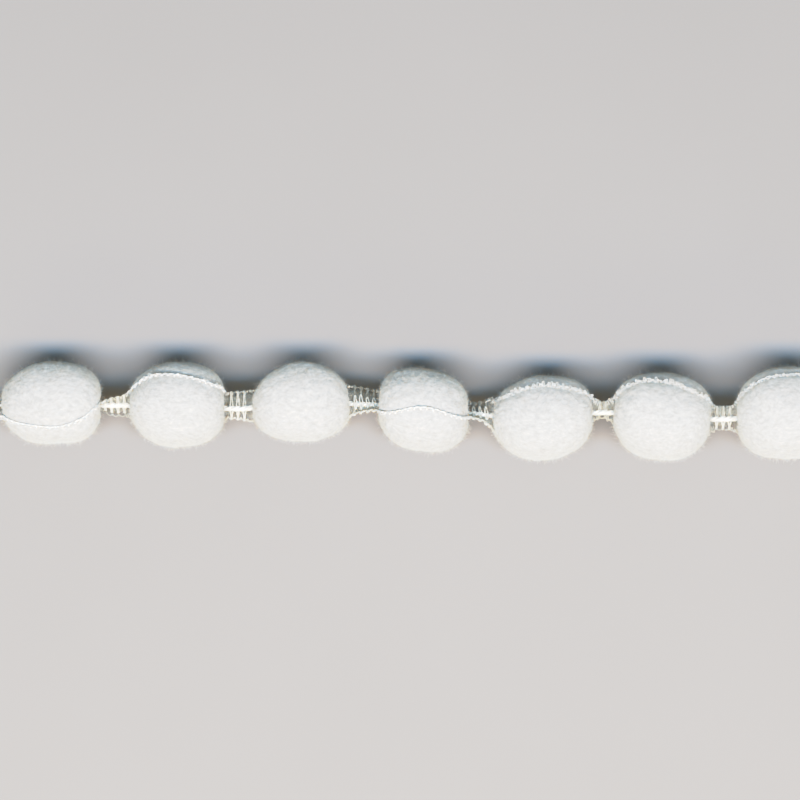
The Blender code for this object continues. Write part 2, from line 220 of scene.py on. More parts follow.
def two_shades(nodes, dark, light, start, stop):
    """A ramp from a dark to a light colour between two values of what feeds it."""
    shades = nodes.new("ShaderNodeValToRGB")
    for element, spot, colour in zip(shades.color_ramp.elements, (start, stop), (dark, light)):
        element.position = spot
        element.color = (*colour, 1.0)
    return shades


def paper_finish():
    """Pale matt paper: a light grey with a very faint cloudy unevenness."""
    made, nodes, links, shader = finish_nodes("pale_paper")
    place = nodes.new("ShaderNodeTexCoord")
    clouds = noise_clouds(nodes, 28.0, 3.0)
    shades = two_shades(nodes, (0.282, 0.274, 0.276), (0.297, 0.288, 0.291), 0.0, 1.0)
    links.new(place.outputs["Object"], clouds.inputs["Vector"])
    links.new(clouds.outputs["Fac"], shades.inputs["Fac"])
    links.new(shades.outputs["Color"], shader.inputs["Base Color"])
    set_inputs(shader, {"Roughness": 0.9, "Specular IOR Level": 0.15})
    return made


def lay_paper(reach):
    """A flat square of paper, reach metres to each side."""
    mesh = bpy.data.meshes.new("paper")
    corners = [(-reach, -reach, 0.0), (reach, -reach, 0.0), (reach, reach, 0.0), (-reach, reach, 0.0)]
    mesh.from_pydata(corners, [], [(0, 1, 2, 3)])
    mesh.materials.append(paper_finish())
    paper = bpy.data.objects.new("paper", mesh)
    bpy.context.scene.collection.objects.link(paper)


PAPER_REACH = 4.0        # m
lay_paper(PAPER_REACH)
print("paper:", 2 * PAPER_REACH, "m wide")

# %% Lamps, camera and tone
LAMP_DISTANCE = 0.5      # m
LAMP_LENGTH = 0.8        # m
LAMPS = (                # name, colour, watts, elevation in degrees and width in m
    ("warm_strip", (1.0, 0.54, 0.12), 6.0, 69.5, 0.115),
    ("cool_strip", (0.12, 0.55, 0.97), 6.0, 74.0, 0.115),
    ("low_glow", (0.88, 0.67, 0.24), 1.0, 24.0, 0.16),
)


def hang_lamp(name, colour, power, elevation, width):
    """A strip lamp along the trim, aimed at it from the near side at an elevation in degrees."""
    light = bpy.data.lights.new(name, "AREA")
    light.shape = "RECTANGLE"
    light.size, light.size_y = LAMP_LENGTH, width
    light.color = colour
    light.energy = power
    lamp = bpy.data.objects.new(name, light)
    tilt = math.radians(90.0 - elevation)
    lamp.location = (0.0, -LAMP_DISTANCE * math.sin(tilt), LAMP_DISTANCE * math.cos(tilt))
    lamp.rotation_euler = (tilt, 0.0, 0.0)
    bpy.context.scene.collection.objects.link(lamp)


VIEW_WIDTH = 116.0       # mm of the trim across the picture, at the balls' mid-height
VIEW_MIDDLE = (-2.61, 1.51, 6.0)
LENS = 250.0
FILM_WIDTH = 36.0


def set_camera():
    """A long lens straight above, so the balls are seen almost without perspective."""
    camera = bpy.data.objects.new("camera", bpy.data.cameras.new("camera"))
    camera.data.lens = LENS
    camera.data.sensor_width = FILM_WIDTH
    height = VIEW_WIDTH * LENS / FILM_WIDTH
    camera.location = (VIEW_MIDDLE[0] * MM, VIEW_MIDDLE[1] * MM, (VIEW_MIDDLE[2] + height) * MM)
    camera.data.clip_start, camera.data.clip_end = 0.05, 20.0
    bpy.context.scene.collection.objects.link(camera)
    bpy.context.scene.camera = camera
    return height


SHOULDER_OF_WHITES = ((0.20, 0.20), (0.43, 0.43), (0.61, 0.62), (0.84, 0.76), (1.0, 0.81), (1.2, 0.86),
                      (1.36, 0.89), (1.6, 0.955), (1.8, 0.985), (2.1, 1.0))
BRIGHTEST = 8.0


def soften_whites():
    """A plain transform with a soft shoulder, so that white pile keeps its shading near full white.

    The curve keeps the darks as they are and eases values from 0.6 to 2.1 towards full white.
    """
    look = bpy.context.scene.view_settings
    look.view_transform = "Standard"
    look.use_curve_mapping = True
    curve = look.curve_mapping
    curve.clip_max_x, curve.clip_max_y = BRIGHTEST, 1.0
    line = curve.curves[3]
    line.points[-1].location = (BRIGHTEST, 1.0)
    for spot in SHOULDER_OF_WHITES:
        line.points.new(*spot)
    curve.update()


def light_room():
    """Even soft light from all around."""
    room = bpy.data.worlds.new("soft_room")
    room.use_nodes = True
    set_inputs(room.node_tree.nodes["Background"], {"Color": (0.90, 1.0, 0.92, 1.0), "Strength": 0.31})
    bpy.context.scene.world = room


for lamp in LAMPS:
    hang_lamp(*lamp)
light_room()
soften_whites()
print("camera height in mm:", round(set_camera(), 1))

# %% [markdown]
# ## Meshes from whole arrays
#
# Thousands of fibres and stitches would be slow to make one by one. Every helper here works out all
# its points at once as an array, and one last helper joins such arrays into a single mesh. Random
# draws all start from fixed seeds, so the trim comes out the same each time.


# %% Directions and shells
# The least height in mm that a spike's base, the tips of down and of fibres, and loose fuzz may have.
FLOORS = {"base": 0.006, "down": 0.01, "fibre": 0.012, "fuzz": 0.03}
# Where each kind of random draw starts.
SEEDS = {"waves": 11, "fibres": 700, "spikes": 800, "fuzz": 900, "loops": 1300, "chain_down": 1500,
         "rungs": 1700, "rung_down": 1900, "wraps": 2000, "wrap_down": 2050, "threads": 2100}


def unit(vectors):
    """The same directions with length one."""
    return vectors / np.maximum(np.linalg.norm(vectors, axis=-1, keepdims=True), 1e-12)


def shell_faces(rings, around, closed=False):
    """Outward quads between rings of points that turn from +Z to +Y, with a place for each corner.

    A corner's place is (share of the way along, share of the way around).
    """
    ring, step = np.meshgrid(np.arange(rings if closed else rings - 1), np.arange(around), indexing="ij")
    after, beside = (ring + 1) % rings, (step + 1) % around
    faces = np.stack([ring * around + step, after * around + step, after * around + beside,
                      ring * around + beside], axis=-1).reshape(-1, 4)
    along = np.stack([ring, ring + 1, ring + 1, ring], axis=-1).reshape(-1, 4) / (rings - 1)
    across = np.stack([step, step, step + 1, step + 1], axis=-1).reshape(-1, 4) / around
    return faces, np.stack([along, across], axis=-1)


print("a tube of three rings of six points has", len(shell_faces(3, 6)[0]), "faces")

# %% [markdown]
# ### Yarns and their plies
#
# A yarn is a round tube along a path. A bevelled curve could make one, but there are hundreds of yarns,
# and each needs a map for its ridges. Here all the yarns of a piece become one array of rings. Most
# of them are two plies twisted together, and each ply is a yarn whose path winds round the first path.


# %% Yarns and plies
def yarns(paths, up, thick, sides, closed=False):
    """Round yarns along many paths at once: a ring of points around each point of each path.

    A ring's point is the path's point plus thick times (cosine of its angle times the side
    direction plus sine times the up direction). Each part is (points, faces, places).
    """
    count, length = paths.shape[:2]
    if closed:
        ahead = unit(np.roll(paths, -1, axis=1) - np.roll(paths, 1, axis=1))
    else:
        ahead = unit(np.gradient(paths, axis=1))
    up = np.broadcast_to(up, paths.shape)
    up = unit(up - ahead * np.sum(up * ahead, axis=-1, keepdims=True))
    side = np.cross(ahead, up)
    angle = 2 * math.pi * np.arange(sides) / sides
    thick = np.broadcast_to(thick, (count, length))[:, :, None, None]
    points = (paths[:, :, None, :] + thick * (np.cos(angle)[:, None] * side[:, :, None, :]
                                              + np.sin(angle)[:, None] * up[:, :, None, :]))
    faces, places = shell_faces(length, sides, closed)
    starts = np.arange(count)[:, None, None] * (length * sides)
    run = np.linalg.norm(np.diff(paths, axis=1), axis=-1).sum(axis=1)
    scale = np.stack([np.broadcast_to(run[:, None, None], (count, *places.shape[:2])),
                      np.ones((count, *places.shape[:2]))], axis=-1)
    parts = [(points.reshape(-1, 3), (faces[None] + starts).reshape(-1, 4),
              (places[None] * scale).reshape(-1, 4, 2))]
    if not closed:
        ends = np.stack([np.arange(sides), (length - 1) * sides + np.arange(sides)[::-1]])
        caps = (ends[None] + starts).reshape(-1, sides)
        parts.append((None, caps, np.zeros((*caps.shape, 2))))
    return parts


def plies(paths, up, offset, lay, closed=False):
    """Two paths twisted round each path, half a turn apart.

    A ply's point is the path's point plus offset times (cosine of its turn times the side direction
    plus sine times the up direction), and the turn grows by once round for each lay of yarn. On a
    closed path the turns are rounded to a whole number. The two plies of a path come one after another.
    """
    after = np.roll(paths, -1, axis=1) if closed else np.concatenate([paths[:, 1:], paths[:, -1:]], axis=1)
    before = np.roll(paths, 1, axis=1) if closed else np.concatenate([paths[:, :1], paths[:, :-1]], axis=1)
    ahead = unit(after - before)
    up = np.broadcast_to(up, paths.shape)
    up = unit(up - ahead * np.sum(up * ahead, axis=-1, keepdims=True))
    side = np.cross(ahead, up)
    steps = np.linalg.norm(after - paths, axis=-1)
    run = np.cumsum(steps, axis=1) - steps
    total = steps.sum(axis=1, keepdims=True)
    rounds = np.round(total / lay) if closed else total / lay
    turn = 2 * math.pi * (rounds * run / total)[:, None, :] + math.pi * np.arange(2)[None, :, None]
    twisted = (paths[:, None] + offset * (np.cos(turn)[..., None] * side[:, None]
                                          + np.sin(turn)[..., None] * up[:, None]))
    return twisted.reshape(-1, *paths.shape[1:])


STRAIGHT = np.array([[[0.0, 0.0, 0.0], [1.0, 0.0, 0.0]]])
print("one path of two points as two plies:", plies(STRAIGHT, [0.0, 0.0, 1.0], 0.1, 1.0).shape)

# %% [markdown]
# ### Fibres and down
#
# Pile fibres and the down on yarn are far too thin for round tubes to show. Hair could be grown, but
# it is no mesh. So a fibre is a spike with three faces, and thousands of them cost little.


# %% Spikes and down
def spikes(root, tip, radius, seed):
    """Thin fibres of three faces: three points around each root and one tip."""
    draw = np.random.default_rng(seed)
    way = unit(tip - root)
    first = unit(np.cross(way, unit(draw.normal(size=way.shape))))
    second = np.cross(way, first)
    radius = np.broadcast_to(radius, len(root))[:, None, None]
    angle = 2 * math.pi * np.arange(3) / 3
    base = root[:, None] + radius * (np.cos(angle)[:, None] * first[:, None]
                                     + np.sin(angle)[:, None] * second[:, None])
    base[..., 2] = np.maximum(base[..., 2], FLOORS["base"])
    points = np.concatenate([base, tip[:, None]], axis=1).reshape(-1, 3)
    corner = np.array([[0, 1, 3], [1, 2, 3], [2, 0, 3]])
    faces = (np.arange(len(root))[:, None, None] * 4 + corner).reshape(-1, 3)
    places = np.broadcast_to(np.array([[0, 0], [0, 0], [0, 1.0]]), (len(faces), 3, 2))
    return [(points, faces, places)]


DOWN_LENGTH = 0.40       # mm that the longest fine fibre stands out of a yarn
DOWN_SHARES = (0.3, 1.0)
DOWN_RADIUS = 0.018
DOWN_LAID_BACK = 0.8     # how much of its slant along the yarn is taken out of each fibre


def yarn_down(paths, thick, count, seed):
    """Fine down on yarns: short spikes from random points of their paths, pointing any way out.

    A spike's length = the yarn's thickness + the longest * the square of a random share.
    """
    draw = np.random.default_rng(seed)
    row = draw.integers(0, paths.shape[0], count)
    column = draw.integers(1, paths.shape[1] - 1, count)
    root = paths[row, column]
    ahead = unit(paths[row, column + 1] - paths[row, column - 1])
    out = draw.normal(size=(count, 3))
    out = unit(out - DOWN_LAID_BACK * ahead * np.sum(out * ahead, axis=-1, keepdims=True))
    reach = thick + DOWN_LENGTH * draw.uniform(*DOWN_SHARES, (count, 1)) ** 2
    tip = root + reach * out
    tip[:, 2] = np.maximum(tip[:, 2], FLOORS["down"])
    return spikes(root, tip, DOWN_RADIUS, seed + 1)


print("the longest down stands", DOWN_LENGTH, "mm out of a yarn")

# %% [markdown]
# ### One mesh from many parts
#
# Each part of a piece is an array of points, an array of faces and an array of places on the map.
# Joining objects by hand would work for a few. Here the arrays are laid end to end and given to the
# mesh in one go. The piece then says which body it rides on and which solid it stands in for. Soft
# waves for uneven pile are worked out here too, from a few sines instead of a noise texture, because
# they have to move the fibres' roots and tips alike.


# %% Pieces and waves
def add_piece(name, parts, finish, stands_for):
    """Join parts into one mesh about the trim's middle, in metres, and stand it in for its solids.

    A part whose points are None uses the points of the part before it.
    """
    points, corners, sizes, places = [], [], [], []
    start, total = 0, 0
    for part_points, faces, part_places in parts:
        if part_points is not None:
            start = total
            total += len(part_points)
            points.append(part_points)
        corners.append((faces + start).ravel())
        sizes.append(np.full(len(faces), faces.shape[1]))
        places.append(part_places.reshape(-1, 2))
    points = (np.vstack(points) - ORIGIN) * MM
    corners, sizes = np.concatenate(corners), np.concatenate(sizes)
    mesh = bpy.data.meshes.new(name)
    mesh.vertices.add(len(points))
    mesh.vertices.foreach_set("co", points.astype(np.float32).ravel())
    mesh.loops.add(len(corners))
    mesh.loops.foreach_set("vertex_index", corners.astype(np.int32))
    mesh.polygons.add(len(sizes))
    mesh.polygons.foreach_set("loop_start", (np.cumsum(sizes) - sizes).astype(np.int32))
    mesh.polygons.foreach_set("loop_total", sizes.astype(np.int32))
    mesh.polygons.foreach_set("use_smooth", np.ones(len(sizes), dtype=bool))
    mesh.uv_layers.new(name="place").data.foreach_set("uv", np.vstack(places).astype(np.float32).ravel())
    mesh.update(calc_edges=True)
    mesh.materials.append(finish)
    piece = bpy.data.objects.new(name, mesh)
    bpy.context.scene.collection.objects.link(piece)
    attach(piece, "root")
    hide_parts(*stands_for)
    return int((sizes - 2).sum())


def waves(points, length, seed, count=14):
    """Soft random heights of about -1 to 1: the mean of sines that run in random directions.

    Each sine's own length is 0.7 to 1.5 times the length asked for, in mm.
    """
    draw = np.random.default_rng(seed)
    ways = unit(draw.normal(size=(count, 3))) * (2 * math.pi / length / draw.uniform(0.7, 1.5, (count, 1)))
    return np.sin(points @ ways.T + draw.uniform(0, 2 * math.pi, count)).sum(axis=-1) / math.sqrt(count)


print("a wave at the trim's middle:", round(float(waves(ORIGIN, 1.0, SEEDS["waves"])), 2))

# %% [markdown]
# ## The finish of the pile
#
# Clipped viscose pile is matt white. Light wanders between its fibres, so it stays bright in its
# hollows and has a soft glow at grazing angles. A hair system could be used, but it would not be
# kept as a mesh. A rough white with a strong soft sheen, on real short fibres, gives the same look.
# Its cloudy greys are stretched one way and swept about a little, like pile that has been stroked.


# %% Pile finish
PILE_GREYS = ((0.362, 0.360, 0.358), (0.735, 0.733, 0.730))
PILE_SWEEP = 0.0014      # how much of the coarse noise is added to the clouds' place
PILE_TURN = 0.35         # radians that the clouds are turned by
PILE_STRETCH = (0.62, 1.1, 1.0)
PILE_GRAIN = 0.00008     # m, depth of the grain


def pile_finish():
    """Matt white with swept grey clouds, a fine grain and a soft sheen.

    The clouds' place is the object's place plus a little of a coarse noise, then turned and stretched.
    """
    made, nodes, links, shader = finish_nodes("clipped_pile")
    place = nodes.new("ShaderNodeTexCoord")
    swirls = noise_clouds(nodes, 160.0, 1.0)
    swept = nodes.new("ShaderNodeMixRGB")
    swept.blend_type = "LINEAR_LIGHT"
    set_inputs(swept, {"Fac": PILE_SWEEP})
    combed = nodes.new("ShaderNodeMapping")
    set_inputs(combed, {"Rotation": (0.0, 0.0, PILE_TURN), "Scale": PILE_STRETCH})
    clouds = noise_clouds(nodes, 1900.0, 6.0)
    set_inputs(clouds, {"Roughness": 0.75})
    shades = two_shades(nodes, *PILE_GREYS, 0.3, 0.7)
    grain = noise_clouds(nodes, 9000.0, 2.0)
    bump = nodes.new("ShaderNodeBump")
    set_inputs(bump, {"Strength": 0.35, "Distance": PILE_GRAIN})
    links.new(place.outputs["Object"], swirls.inputs["Vector"])
    links.new(place.outputs["Object"], swept.inputs["Color1"])
    links.new(swirls.outputs["Color"], swept.inputs["Color2"])
    links.new(swept.outputs["Color"], combed.inputs["Vector"])
    links.new(combed.outputs["Vector"], clouds.inputs["Vector"])
    links.new(place.outputs["Object"], grain.inputs["Vector"])
    links.new(clouds.outputs["Fac"], shades.inputs["Fac"])
    links.new(shades.outputs["Color"], shader.inputs["Base Color"])
    links.new(grain.outputs["Fac"], bump.inputs["Height"])
    links.new(bump.outputs["Normal"], shader.inputs["Normal"])
    set_inputs(shader, {"Roughness": 0.95, "Specular IOR Level": 0.1, "Sheen Weight": 0.9,
                        "Sheen Tint": (1.0, 0.99, 0.87, 1.0), "Sheen Roughness": 0.5})
    return made


PILE = pile_finish()
print("finish:", PILE.name)

# %% [markdown]
# ## The pompoms
#
# The pile is bound along two stitch lines and clipped to a barrel with soft shoulders. A sphere with a
# noise texture would look like plaster. Here a skin gives the barrel, its two stitch valleys, the
# dimples where the braid goes in and the flat spot it rests on, and short fibres stand all over it.


# %% The barrel
FINE_SLANTS = 4001


def place_along(ball, slant):
    """Place along a ball for slants of -90 to 90 degrees: the sine to the power 2 over the squareness."""
    share = np.abs(np.sin(slant)) ** (2.0 / SQUARENESS)
    return np.sign(slant) * share * ball["half_length"] * POLE_REACH


def barrel(ball, along, turn):
    """Radius of a ball at a place along it and a turn, and its normal (along, away from the line).

    The shares of its length and its width, each raised to the squareness there, add up to one. The
    squareness goes from the near shoulder's to the far one's with the sine of the turn.
    """
    far = np.where(along < 0, ball["far_left"], ball["far_right"])
    near = np.where(along < 0, ball["near_left"], ball["near_right"])
    power = near + (far - near) * 0.5 * (1 + np.sin(turn))
    length = ball["half_length"] * POLE_REACH
    share = np.minimum(np.abs(along) / length, 1.0)
    width = (1 - share ** power) ** (1 / power)
    normal = np.stack([np.sign(along) * share ** (power - 1) / length,
                       width ** (power - 1) / ball["half_width"]], axis=-1)
    return width * ball["half_width"], unit(normal)


def slants_by(ball, shares, weight):
    """Slants at even shares of the way from pole to pole, by length (weight 0) or by area (weight 1)."""
    fine = np.linspace(-math.pi / 2, math.pi / 2, FINE_SLANTS)
    along, radius = place_along(ball, fine), np.cos(fine) ** (2.0 / SQUARENESS) * ball["half_width"]
    step = np.hypot(np.diff(along), np.diff(radius)) * (0.5 * (radius[1:] + radius[:-1])) ** weight
    run = np.concatenate([[0.0], np.cumsum(step)])
    return np.interp(shares, run / run[-1], fine)


print("slant halfway from middle to pole:", round(math.degrees(slants_by(POMPOMS[0], 0.75, 0)), 1), "degrees")

# %% [markdown]
# ### The clipped surface
#
# The pile parts a little where a stitch line binds it, so a soft slope leads down to a narrow groove.
# The shears leave it slightly uneven. Sculpting could give both, but the fibres, the chains and the skin
# have to agree on where the surface is. So one function gives it for any slant and turn.

# %% Valleys, waves and the skin
GROOVE = (0.04, 0.33)          # depth and half width of the groove in the pile
# Depth and half width of the soft slope down to the groove, for each ball.
SLOPES = ((0.22, 1.1), (0.12, 1.0), (0.40, 1.9), (0.16, 0.9), (0.14, 1.0), (0.14, 1.0), (0.14, 1.0))
VALLEY_FADE = 0.5              # valleys fade out where a ball is narrower than this share of its width
SKIN_SINK = 0.11               # the skin lies this far below the tips of the pile
SKIN_GRID = (92, 150)
SKIN_PLACE = 0.2               # every corner's place on the map, which the pile's finish doesn't read
POLE_SLANT = 1.5707            # a quarter turn, just short of the pole itself


def valley_height(index, x, turn, radius, groove):
    """How far the pile stands above its barrel near the two stitch lines.

    The slope down to a line is a shallow bell, and the groove is minus its depth over
    (1 + (distance / half width) to the power 4).
    """
    ball = POMPOMS[index]
    depth, half_width = GROOVE
    sag, reach = SLOPES[index]
    height = np.zeros_like(radius)
    fade = np.minimum(1.0, radius / (VALLEY_FADE * ball["half_width"]))
    for side in "ab":
        off = np.angle(np.exp(1j * (turn - turn_at(side, x)))) * radius
        height -= fade * (sag * np.exp(-(off / reach) ** 2) + groove * depth / (1 + (off / half_width) ** 4))
    return height


UNEVEN = ((0.09, 6.0), (0.042, 1.7), (0.045, 0.5))    # height and length of the pile's soft waves
UNEVEN_FADE = 1.5              # they fade out where a ball is narrower than this
FLOOR_SOFTNESS = 0.12          # how gently the pile's underside is held above the surface


def pile_points(index, slant, turn, rise, groove=True):
    """Points of a ball's surface, rise mm above its clipped skin, with or without groove and fine waves.

    Reach from the middle line = barrel's radius + slopes + groove, and then the soft waves and the rise go
    along the barrel's normal. Near the poles the points are drawn inwards by a bell. A height near the
    surface becomes half of (itself + the root of its square and the softness's square).
    """
    ball = POMPOMS[index]
    along = place_along(ball, slant)
    radius, normal = barrel(ball, along, turn)
    x = ball["x"] + along
    reach = radius + valley_height(index, x, turn, radius, groove)
    spot = line_at(x) + reach[..., None] * outward(turn) * (1.0, 1.0, DEPTH_RATIO)
    uneven = sum(height * waves(spot, length, SEEDS["waves"] + 20 * number + index)
                 for number, (height, length) in enumerate(UNEVEN if groove else UNEVEN[:1]))
    lift = np.minimum(1.0, radius / UNEVEN_FADE) * uneven + rise
    reach = np.maximum(reach + lift * normal[..., 1], 0.0)
    bell = np.exp(-(radius / POLE_DIMPLE_RADIUS) ** 2)
    inward = ((POLE_REACH - 1.0) * ball["half_length"] + POLE_DIMPLE) * bell
    x = x - np.sign(along) * inward + lift * normal[..., 0]
    spot = line_at(x) + reach[..., None] * outward(turn) * (1.0, 1.0, DEPTH_RATIO)
    spot[..., 2] = 0.5 * (spot[..., 2] + np.hypot(spot[..., 2], FLOOR_SOFTNESS))
    return spot


def ball_skin(index):
    """The closed skin under the pile: rings from pole to pole, each end closed by a fan."""
    rings, around = SKIN_GRID
    slants = slants_by(POMPOMS[index], np.linspace(0, 1, rings + 2)[1:-1], 0)
    turns = 2 * math.pi * np.arange(around) / around
    slant, turn = np.meshgrid(slants, turns, indexing="ij")
    points = pile_points(index, slant, turn, -SKIN_SINK).reshape(-1, 3)
    poles = pile_points(index, np.array([-POLE_SLANT, POLE_SLANT]), np.zeros(2), -SKIN_SINK)
    faces, places = shell_faces(rings, around)
    step = np.arange(around)
    beside = (step + 1) % around
    left = np.stack([np.full(around, rings * around), step, beside], axis=-1)
    top = (rings - 1) * around
    right = np.stack([np.full(around, rings * around + 1), top + beside, top + step], axis=-1)
    fans = np.vstack([left, right])
    return [(np.vstack([points, poles]), faces, np.full_like(places, SKIN_PLACE)),
            (None, fans, np.full((*fans.shape, 2), SKIN_PLACE))]


print("skin grid:", SKIN_GRID, "points a ball")


# %% [markdown]
# ### The clipped fibres
#
# A fibre could be a curve with a bevel, but tens of thousands of curves are slow. Each is a narrow
# three-sided spike instead, rooted below the skin. They are spread by a sequence that fills the ball
# evenly without rows, and each leans its own way. About one in five was missed by the shears: it is
# thinner and stands out further. A few long loose ones are curved, and they have five points each.

# %% The fibres of one ball
FIBRES = 20000
FIBRE_RADIUS = (0.045, 0.08)
FIBRE_TIPS = (-0.05, 0.05)     # where the tips end, above the clipped surface
FIBRE_ROOT = 0.12              # the roots lie this far below the skin
FIBRE_LEAN = 0.24              # how far the tips lean, as a share of the length
MISSED = (0.22, 0.52)          # share of the fibres that the shears missed, and how far they stand out
MISSED_SHARES = (0.2, 1.0)     # of that reach, drawn for each
MISSED_RADIUS = 0.024
FUZZ = 420                     # long loose fibres that stand out of the clipped ones
FUZZ_ROOT = -0.25
FUZZ_LENGTHS = (0.5, 1.05)
FUZZ_BENDS = (0.1, 0.9)
FUZZ_RADIUS = 0.016
FUZZ_START = 0.37              # so that the fuzz isn't rooted where fibres are
SPREAD_STEPS = (0.7548776662, 0.5698402910)
SPREAD_STARTS = (0.13, 0.29)


def spread_over(ball, count, seed):
    """Evenly scattered slants and turns: steps of two irrational numbers, wrapped round the ball."""
    number = np.arange(count) + 0.5
    shares = (number * SPREAD_STEPS[0] + SPREAD_STARTS[0] * seed) % 1.0
    turns = 2 * math.pi * ((number * SPREAD_STEPS[1] + SPREAD_STARTS[1] * seed) % 1.0)
    return slants_by(ball, shares, 1), turns


def clipped_fibres(index):
    """Short spikes from below the skin to just above the clipped surface, each leaning its own way."""
    draw = np.random.default_rng(SEEDS["fibres"] + index)
    slant, turn = spread_over(POMPOMS[index], FIBRES, index)
    share, reach = MISSED
    missed = draw.random(FIBRES) < share
    root = pile_points(index, slant, turn, -SKIN_SINK - FIBRE_ROOT)
    rise = draw.uniform(*FIBRE_TIPS, FIBRES) + missed * reach * draw.uniform(*MISSED_SHARES, FIBRES)
    tip = pile_points(index, slant, turn, rise)
    length = np.linalg.norm(tip - root, axis=-1, keepdims=True)
    tip = tip + FIBRE_LEAN * length * draw.normal(size=(FIBRES, 3)) * (1.0, 0.8, 0.8)
    tip[:, 2] = np.maximum(tip[:, 2], FLOORS["fibre"])
    radius = np.where(missed, MISSED_RADIUS, draw.uniform(*FIBRE_RADIUS, FIBRES))
    return spikes(root, tip, radius, SEEDS["spikes"] + index)


def loose_fuzz(index):
    """Thin curved fibres that leave the surface and bend over, each thinner towards its tip.

    A point = root + length * (share of the way * up + bend * the square of that share * sideways).
    """
    draw = np.random.default_rng(SEEDS["fuzz"] + index)
    slant, turn = spread_over(POMPOMS[index], FUZZ, index + FUZZ_START)
    root = pile_points(index, slant, turn, FUZZ_ROOT)
    up = unit(pile_points(index, slant, turn, 0.4) - root)
    bend = unit(np.cross(up, draw.normal(size=(FUZZ, 3))))
    share = np.linspace(0, 1, 5)[None, :, None]
    reach = draw.uniform(*FUZZ_LENGTHS, (FUZZ, 1, 1))
    paths = root[:, None] + reach * (share * up[:, None] + draw.uniform(*FUZZ_BENDS, (FUZZ, 1, 1))
                                     * share ** 2 * bend[:, None])
    paths[..., 2] = np.maximum(paths[..., 2], FLOORS["fuzz"])
    return yarns(paths, np.cross(up, bend)[:, None], FUZZ_RADIUS * (1 - 0.5 * share[..., 0]), 3)


fibre_faces = []
for index in range(len(POMPOMS)):
    parts = ball_skin(index) + clipped_fibres(index) + loose_fuzz(index)
    fibre_faces.append(add_piece(f"pile_{index + 1}", parts, PILE, [f"pompom_{index + 1}"]))
print("triangles in the seven balls:", fibre_faces)

# %% [markdown]
# ## The finish of the braid
#
# The braid is spun from bright viscose: smooth, creamy and with a silky gloss. Each yarn is two
# strands twisted together, and their fine ridges run slantwise round it. The ridges are drawn as
# bump from the yarn's own map, because single filaments are too fine to see. One white would do for
# all of it. There are five. The cord's and the rungs' cream is the yarn's own, and the cord and the
# stitch yarn have a real gloss. The stitch yarn's extra white is painted highlight on chain that lies
# on top in the light, and the grey and the dark yarn are painted shade on parts that lie in shade.


# %% Braid finishes
RIDGES = 3               # ridges side by side around a yarn


def yarn_finish(name, dark, light, roughness, twist, depth, gloss=0.0):
    """Silky yarn, dark to light in small clouds, with slanting ridges.

    A ridge's height is the sine of (along times twist plus the number of ridges times the angle around).
    """
    made, nodes, links, shader = finish_nodes(name)
    place = nodes.new("ShaderNodeUVMap")
    place.uv_map = "place"
    split = nodes.new("ShaderNodeSeparateXYZ")
    along = nodes.new("ShaderNodeMath")
    along.operation = "MULTIPLY"
    along.inputs[1].default_value = twist
    around = nodes.new("ShaderNodeMath")
    around.operation = "MULTIPLY_ADD"
    around.inputs[1].default_value = RIDGES * 2 * math.pi
    ridge = nodes.new("ShaderNodeMath")
    ridge.operation = "SINE"
    spot = nodes.new("ShaderNodeTexCoord")
    clouds = noise_clouds(nodes, 1500.0, 3.0)
    shades = two_shades(nodes, dark, light, 0.3, 0.7)
    bump = nodes.new("ShaderNodeBump")
    set_inputs(bump, {"Strength": 0.6, "Distance": depth})
    links.new(place.outputs["UV"], split.inputs["Vector"])
    links.new(split.outputs["X"], along.inputs[0])
    links.new(split.outputs["Y"], around.inputs[0])
    links.new(along.outputs["Value"], around.inputs[2])
    links.new(around.outputs["Value"], ridge.inputs[0])
    links.new(ridge.outputs["Value"], bump.inputs["Height"])
    links.new(bump.outputs["Normal"], shader.inputs["Normal"])
    links.new(spot.outputs["Object"], clouds.inputs["Vector"])
    links.new(clouds.outputs["Fac"], shades.inputs["Fac"])
    links.new(shades.outputs["Color"], shader.inputs["Base Color"])
    set_inputs(shader, {"Roughness": roughness, "Specular IOR Level": 0.9, "Coat Weight": gloss,
                        "Coat Roughness": 0.25, "Sheen Weight": 0.1, "Sheen Roughness": 0.4})
    return made


# Each has a dark and a light tone, a roughness, a twist, a ridge depth in m, and for some a gloss.
# Painted highlight: the stitch yarn is whiter than the rest, for chain that lies on top in the light.
STITCH_YARN_PAINTED_HIGHLIGHT = yarn_finish("stitch_yarn_painted_highlight", (0.93, 0.93, 0.905), (0.98, 0.98, 0.96), 0.28, 14.0, 0.00002, 0.7)
# Painted shade: a grey yarn for parts of the braid that lie in shade.
GREY_YARN_PAINTED_SHADE = yarn_finish("grey_yarn_painted_shade", (0.36, 0.37, 0.335), (0.58, 0.585, 0.54), 0.45, 14.0, 0.00002)
RUNG_YARN = yarn_finish("rung_yarn", (0.72, 0.70, 0.61), (0.90, 0.885, 0.80), 0.34, 14.0, 0.00002)
CORD_YARN = yarn_finish("cord_yarn", (0.95, 0.945, 0.87), (0.98, 0.975, 0.92), 0.28, 9.0, 0.00003, 0.4)
# Painted deep shade: a dark yarn for parts of the braid in the deepest shade.
DARK_YARN_PAINTED_DEEP_SHADE = yarn_finish("dark_yarn_painted_deep_shade", (0.19, 0.20, 0.175), (0.33, 0.34, 0.30), 0.6, 14.0, 0.00002)
print("finishes:", [made.name for made in (STITCH_YARN_PAINTED_HIGHLIGHT, GREY_YARN_PAINTED_SHADE, RUNG_YARN, CORD_YARN, DARK_YARN_PAINTED_DEEP_SHADE)])

# %% [markdown]
# ## Where the edge chains run
#
# Between two balls an edge chain stays close to the middle cord. At a ball it flares out, climbs the
# shoulder and runs over the pile in its valley. One path for each side goes through the whole trim,
# so the stitches can be set along it without a break, and only then shared out among the pieces.

# %% The two edge paths
FLARE_REACH = {"a": 2.55, "b": 2.1}     # reach of a chain where it leaves the braid for a ball
VALLEY_SLANT = 60.0            # a chain lies on the pile up to this slant, in degrees
